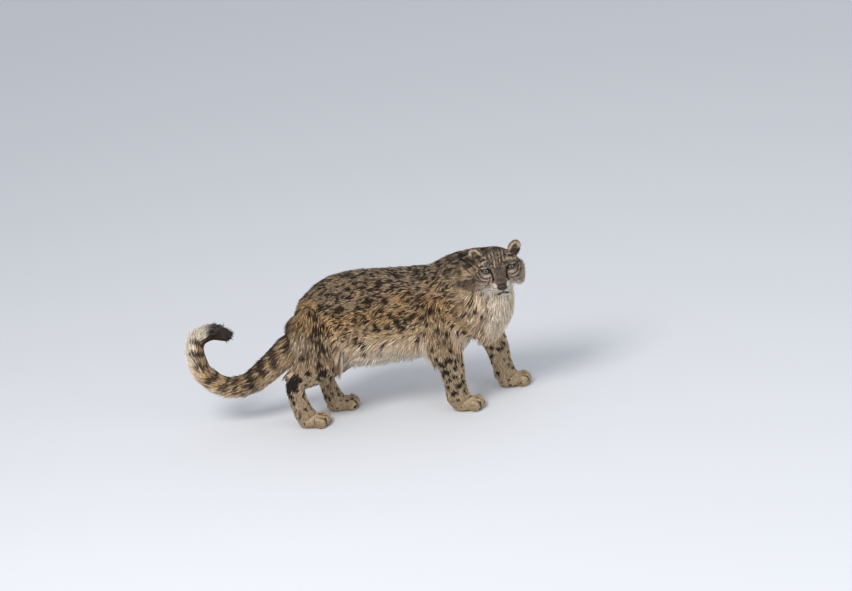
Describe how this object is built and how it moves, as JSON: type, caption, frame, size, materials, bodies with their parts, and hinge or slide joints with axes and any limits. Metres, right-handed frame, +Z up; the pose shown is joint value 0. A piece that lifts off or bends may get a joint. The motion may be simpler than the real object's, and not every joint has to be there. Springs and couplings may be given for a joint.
{
  "type": "snow leopard",
  "caption": "Life-size still model of a snow leopard on four paws, side on, head turned to its right, thick tail curled up at the end.",
  "frame": {"origin": "middle of the bounding box in plan, on the level floor that the four soles stand on", "axes": "+X along the body towards the chest, +Y to the animal's left, +Z up"},
  "size_m": [1.4968, 0.3647, 0.6795],
  "materials": {
    "coat_gold": "dense matt fur, golden tan with dark broken rosettes",
    "coat_pale": "short matt cream fur",
    "coat_grey": "short matt grey-brown fur with small dark marks",
    "coat_dark": "matt near-black fur",
    "eye": "wet gloss, pale grey-green with a dark round pupil",
    "nose_skin": "dark brown skin with a soft sheen"
  },
  "bodies": {
    "root": {"torso": "coat_gold", "neck": "coat_gold", "head": "coat_grey", "ear_left": "coat_grey", "ear_right": "coat_grey", "eye_left": "eye", "eye_right": "eye", "nose": "nose_skin", "shoulder_fore_right": "coat_gold", "leg_fore_right": "coat_gold", "paw_fore_right": "coat_pale", "shoulder_fore_left": "coat_gold", "leg_fore_left": "coat_gold", "paw_fore_left": "coat_pale", "thigh_hind_right": "coat_gold", "leg_hind_right": "coat_gold", "paw_hind_right": "coat_pale", "thigh_hind_left": "coat_gold", "leg_hind_left": "coat_gold", "paw_hind_left": "coat_pale", "tail_1": "coat_gold", "tail_2": "coat_gold", "tail_3": "coat_gold", "tail_4": "coat_gold", "tail_5": "coat_gold", "tail_6": "coat_dark"}
  },
  "joints": []
}
